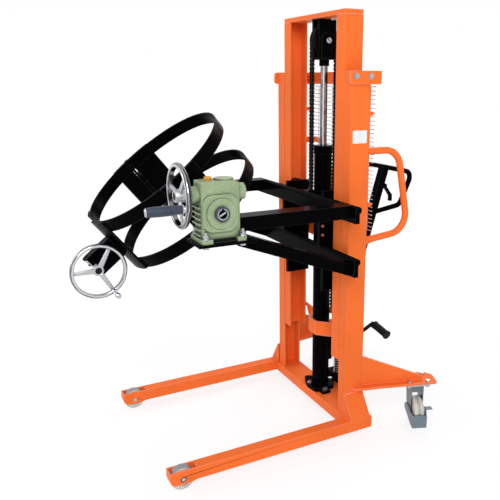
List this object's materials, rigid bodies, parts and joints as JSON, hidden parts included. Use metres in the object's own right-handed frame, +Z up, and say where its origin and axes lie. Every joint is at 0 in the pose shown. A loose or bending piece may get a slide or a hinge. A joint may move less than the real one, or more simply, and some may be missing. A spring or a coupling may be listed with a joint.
{
  "type": "drum stacker",
  "caption": "Hand-pumped straddle stacker with a two-stage mast and a geared tilting clamp whose hinged hoops grip a steel drum, for lifting, carrying and pouring it.",
  "frame": {"origin": "on the floor, under the middle of the object's box", "axes": "+Z up, +X towards the side with the tilting gearbox, -Y the way the legs and the drum point"},
  "size_m": [0.9901, 1.4743, 1.733],
  "materials": {
    "orange_paint": "gloss powder coat",
    "black_paint": "gloss powder coat",
    "green_casting": "hammered casting paint",
    "chrome_rod": "hard chrome, polished",
    "polished_wheel": "polished",
    "zinc_steel": "bright zinc plate",
    "dark_steel": "oiled steel",
    "bronze": "machined bronze",
    "cream_nylon": "moulded nylon",
    "grip_plastic": "moulded grip",
    "blue_grey_paint": "satin paint",
    "white_wire": "white coated wire",
    "yellow_plastic": "moulded plug",
    "slide_nylon": "machined nylon",
    "pedal_black": "black arm with a rubber grip"
  },
  "bodies": {
    "chassis": {"leg_near": "orange_paint", "leg_far": "orange_paint", "base_box": "orange_paint", "outer_mast_near": "orange_paint", "outer_mast_far": "orange_paint", "mast_top_bridge": "orange_paint", "bow_bracket": "orange_paint", "caster_wings": "orange_paint", "push_handles": "orange_paint", "mesh_guard": "white_wire", "lift_barrel": "black_paint", "pump_body": "black_paint", "frame_hardware": "zinc_steel", "chain_rear": "dark_steel", "pump_spring": "dark_steel", "mast_rear_channel": "orange_paint"},
    "inner_mast": {"inner_mast_near": "orange_paint", "inner_mast_far": "orange_paint", "inner_top_plate": "orange_paint", "inner_rear_tie": "orange_paint", "mast_slide_blocks": "slide_nylon", "crosshead": "black_paint", "piston_rod": "chrome_rod", "chain_wrap": "dark_steel", "chain_front": "dark_steel"},
    "sheave": {"sheave": "dark_steel"},
    "carriage": {"carriage_frame": "black_paint", "arm_near": "black_paint", "arm_far": "black_paint", "pivot_bearing": "black_paint", "gearbox_housing": "green_casting", "gearbox_cover": "green_casting", "gearbox_breather": "yellow_plastic", "carriage_bolts": "zinc_steel"},
    "clamp": {"clamp_frame": "black_paint", "worm_gear": "bronze"},
    "gate": {"clamp_gate": "black_paint"},
    "screw": {"clamp_screw": "zinc_steel"},
    "clamp_wheel": {"clamp_wheel": "polished_wheel"},
    "worm": {"worm_shaft": "dark_steel", "tilt_wheel": "polished_wheel"},
    "tilt_grip": {"tilt_grip": "grip_plastic"},
    "tiller": {"tiller": "black_paint"},
    "trigger": {"release_trigger": "black_paint"},
    "plunger": {"pump_plunger": "dark_steel"},
    "pedal": {"foot_pedal": "pedal_black"},
    "carriage_roller_upper_near": {"carriage_roller_upper_near": "dark_steel"},
    "carriage_roller_lower_near": {"carriage_roller_lower_near": "dark_steel"},
    "front_roller_near": {"front_roller_near": "cream_nylon"},
    "caster_near": {"caster_fork_near": "zinc_steel", "caster_guard_near": "blue_grey_paint"},
    "caster_wheel_near": {"caster_wheel_near": "cream_nylon"},
    "caster_brake_near": {"caster_brake_near": "blue_grey_paint"},
    "carriage_roller_upper_far": {"carriage_roller_upper_far": "dark_steel"},
    "carriage_roller_lower_far": {"carriage_roller_lower_far": "dark_steel"},
    "front_roller_far": {"front_roller_far": "cream_nylon"},
    "caster_far": {"caster_fork_far": "zinc_steel", "caster_guard_far": "blue_grey_paint"},
    "caster_wheel_far": {"caster_wheel_far": "cream_nylon"},
    "caster_brake_far": {"caster_brake_far": "blue_grey_paint"}
  },
  "joints": [
    {"name": "mast_lift", "type": "slide", "parent": "chassis", "child": "inner_mast", "axis": [0, 0, 1], "range_m": [-0.222, 0.4], "deforming": ["chain_rear"]},
    {"name": "carriage_lift", "type": "slide", "parent": "inner_mast", "child": "carriage", "axis": [0, 0, 1], "range_m": [-0.222, 0.4], "deforming": ["chain_front"]},
    {"name": "sheave_spin", "type": "hinge", "parent": "inner_mast", "child": "sheave", "pos_m": [-0.0401, 0.3633, 1.631], "axis": [1, 0, 0], "continuous": true},
    {"name": "tilt", "type": "hinge", "parent": "carriage", "child": "clamp", "pos_m": [-0.0401, -0.3037, 1.053], "axis": [1, 0, 0], "continuous": true},
    {"name": "worm_spin", "type": "hinge", "parent": "carriage", "child": "worm", "pos_m": [0.3849, -0.4277, 1.114], "axis": [0, 1, 0], "continuous": true},
    {"name": "tilt_grip_spin", "type": "hinge", "parent": "worm", "child": "tilt_grip", "pos_m": [0.47956, -0.5037, 1.08864], "axis": [0, 1, 0], "continuous": true},
    {"name": "gate_swing", "type": "hinge", "parent": "clamp", "child": "gate", "pos_m": [-0.35091, -0.32492, 1.036], "axis": [0, 0.6252, -0.7804], "range_deg": [0, 30]},
    {"name": "screw_swing", "type": "hinge", "parent": "gate", "child": "screw", "pos_m": [-0.1141, -0.63415, 0.80492], "axis": [0, 0.6252, -0.7804], "range_deg": [0, 90]},
    {"name": "clamp_wheel_spin", "type": "hinge", "parent": "screw", "child": "clamp_wheel", "pos_m": [0.0579, -0.63415, 0.80492], "axis": [1, 0, 0], "continuous": true},
    {"name": "tiller_swing", "type": "hinge", "parent": "chassis", "child": "tiller", "pos_m": [-0.0401, 0.4963, 0.25], "axis": [-1, 0, 0], "range_deg": [0, 70], "stiffness_Nm_per_rad": 20, "springref_deg": -34.38},
    {"name": "trigger_pull", "type": "hinge", "parent": "tiller", "child": "trigger", "pos_m": [-0.0401, 0.69379, 1.00379], "axis": [-1, 0, 0], "range_deg": [0, 15], "stiffness_Nm_per_rad": 0.8, "springref_deg": -34.38},
    {"name": "plunger_stroke", "type": "slide", "parent": "chassis", "child": "plunger", "axis": [0, 0, 1], "range_m": [0, 0.0201], "deforming": ["pump_spring"]},
    {"name": "pedal_press", "type": "hinge", "parent": "chassis", "child": "pedal", "pos_m": [0.0599, 0.4663, 0.32], "axis": [-1, 0, 0], "range_deg": [0, 25], "stiffness_Nm_per_rad": 8, "springref_deg": -34.38},
    {"name": "carriage_roller_spin_upper_near", "type": "hinge", "parent": "carriage", "child": "carriage_roller_upper_near", "pos_m": [0.1694, 0.3463, 1], "axis": [1, 0, 0], "continuous": true},
    {"name": "carriage_roller_spin_lower_near", "type": "hinge", "parent": "carriage", "child": "carriage_roller_lower_near", "pos_m": [0.1694, 0.3463, 0.642], "axis": [1, 0, 0], "continuous": true},
    {"name": "front_roller_spin_near", "type": "hinge", "parent": "chassis", "child": "front_roller_near", "pos_m": [0.3044, -0.4407, 0.0445], "axis": [1, 0, 0], "continuous": true},
    {"name": "caster_swivel_near", "type": "hinge", "parent": "chassis", "child": "caster_near", "pos_m": [0.3239, 0.6363, 0.18], "axis": [0, 0, 1], "continuous": true},
    {"name": "caster_wheel_spin_near", "type": "hinge", "parent": "caster_near", "child": "caster_wheel_near", "pos_m": [0.34065, 0.6297, 0.06], "axis": [0.3665, 0.9304, 0], "continuous": true},
    {"name": "caster_brake_press_near", "type": "hinge", "parent": "caster_near", "child": "caster_brake_near", "pos_m": [0.37786, 0.61504, 0.042], "axis": [0.3665, 0.9304, 0], "range_deg": [0, 18]},
    {"name": "carriage_roller_spin_upper_far", "type": "hinge", "parent": "carriage", "child": "carriage_roller_upper_far", "pos_m": [-0.2496, 0.3463, 1], "axis": [1, 0, 0], "continuous": true},
    {"name": "carriage_roller_spin_lower_far", "type": "hinge", "parent": "carriage", "child": "carriage_roller_lower_far", "pos_m": [-0.2496, 0.3463, 0.642], "axis": [1, 0, 0], "continuous": true},
    {"name": "front_roller_spin_far", "type": "hinge", "parent": "chassis", "child": "front_roller_far", "pos_m": [-0.3846, -0.4407, 0.0445], "axis": [1, 0, 0], "continuous": true},
    {"name": "caster_swivel_far", "type": "hinge", "parent": "chassis", "child": "caster_far", "pos_m": [-0.4041, 0.6363, 0.18], "axis": [0, 0, 1], "continuous": true},
    {"name": "caster_wheel_spin_far", "type": "hinge", "parent": "caster_far", "child": "caster_wheel_far", "pos_m": [-0.42085, 0.6297, 0.06], "axis": [0.3665, -0.9304, 0], "continuous": true},
    {"name": "caster_brake_press_far", "type": "hinge", "parent": "caster_far", "child": "caster_brake_far", "pos_m": [-0.45806, 0.61504, 0.042], "axis": [0.3665, -0.9304, 0], "range_deg": [0, 18]}
  ],
  "couplings": [
    {"joint": "carriage_lift", "follows": "mast_lift", "ratio": 1},
    {"joint": "sheave_spin", "follows": "mast_lift", "rad_per_m": -17.094},
    {"joint": "worm_spin", "follows": "tilt", "ratio": 20},
    {"joint": "screw_swing", "follows": "gate_swing", "ratio": 3},
    {"joint": "plunger_stroke", "follows": "tiller_swing", "m_per_rad": 0.0164},
    {"joint": "carriage_roller_spin_upper_near", "follows": "mast_lift", "rad_per_m": 28.169},
    {"joint": "carriage_roller_spin_lower_near", "follows": "mast_lift", "rad_per_m": -28.169},
    {"joint": "carriage_roller_spin_upper_far", "follows": "mast_lift", "rad_per_m": 28.169},
    {"joint": "carriage_roller_spin_lower_far", "follows": "mast_lift", "rad_per_m": -28.169}
  ]
}
